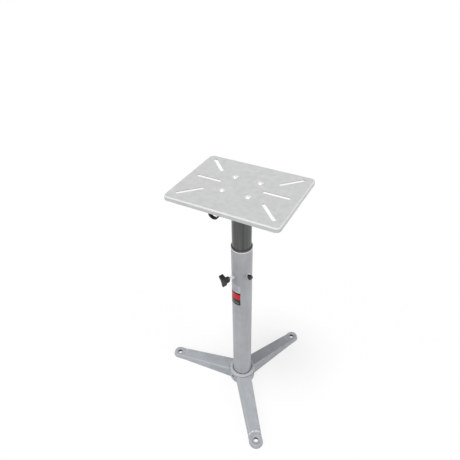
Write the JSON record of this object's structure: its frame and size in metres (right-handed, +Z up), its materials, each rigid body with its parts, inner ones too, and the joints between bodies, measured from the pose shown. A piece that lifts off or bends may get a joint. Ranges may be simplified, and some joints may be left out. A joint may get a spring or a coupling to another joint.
{
  "type": "bench grinder stand",
  "caption": "Height-adjustable pedestal stand for a bench grinder: cast three-leg floor base, telescoping steel column with a hand knob lock, slotted pressed top plate.",
  "frame": {"origin": "centre of the floor bolt circle, on the column axis at floor level", "axes": "+Z up along the column, -Y towards the front edge of the top plate, +X to the right of someone facing that edge"},
  "size_m": [0.4623, 0.4958, 0.8232],
  "materials": {
    "casting": "silver-grey paint with a fine hammered texture",
    "column_paint": "smooth satin silver-grey paint",
    "post_paint": "satin dark grey paint",
    "plate_paint": "satin light grey paint",
    "zinc_steel": "bright zinc plate",
    "black_plastic": "fine matt grain",
    "black_steel": "black oxide, satin",
    "label_film": null
  },
  "bodies": {
    "stand": {"base_casting": "casting", "set_screws": "black_steel", "outer_tube": "column_paint", "column_bush": "black_plastic", "knob_weld_nut": "zinc_steel", "clamp_weld_nut": "zinc_steel", "label": "label_film"},
    "lift": {"guide_plug": "black_plastic"},
    "head": {"inner_tube": "post_paint", "post_flange": "post_paint", "top_plate": "plate_paint", "flange_bolts": "zinc_steel", "flange_washers": "zinc_steel", "flange_lock_washers": "zinc_steel", "flange_nuts": "zinc_steel", "tool_hook": "black_steel", "hook_stud": "zinc_steel", "hook_washer": "zinc_steel", "hook_nut": "zinc_steel"},
    "lock_stud": {"knob_stud": "zinc_steel"},
    "lock_knob": {"knob_body": "black_plastic"},
    "clamp": {"clamp_screw": "black_steel"}
  },
  "joints": [
    {"name": "column_height", "type": "slide", "parent": "stand", "child": "lift", "axis": [0, 0, 1], "range_m": [-0.18, 0.27]},
    {"name": "column_swivel", "type": "hinge", "parent": "lift", "child": "head", "pos_m": [0, 0, 0.5], "axis": [0, 0, 1], "continuous": true},
    {"name": "screw_travel", "type": "slide", "parent": "stand", "child": "lock_stud", "axis": [-0.3939, -0.9191, 0], "range_m": [0, 0.005]},
    {"name": "knob_turn", "type": "hinge", "parent": "lock_stud", "child": "lock_knob", "pos_m": [-0.02364, -0.05515, 0.522], "axis": [-0.3939, -0.9191, 0], "range_deg": [0, 1440]},
    {"name": "clamp_turn", "type": "hinge", "parent": "stand", "child": "clamp", "pos_m": [0.03411, -0.0209, 0.533], "axis": [0.8526, -0.5225, 0], "range_deg": [0, 720]}
  ],
  "couplings": [
    {"joint": "screw_travel", "follows": "knob_turn", "m_per_rad": 0.00019894}
  ]
}
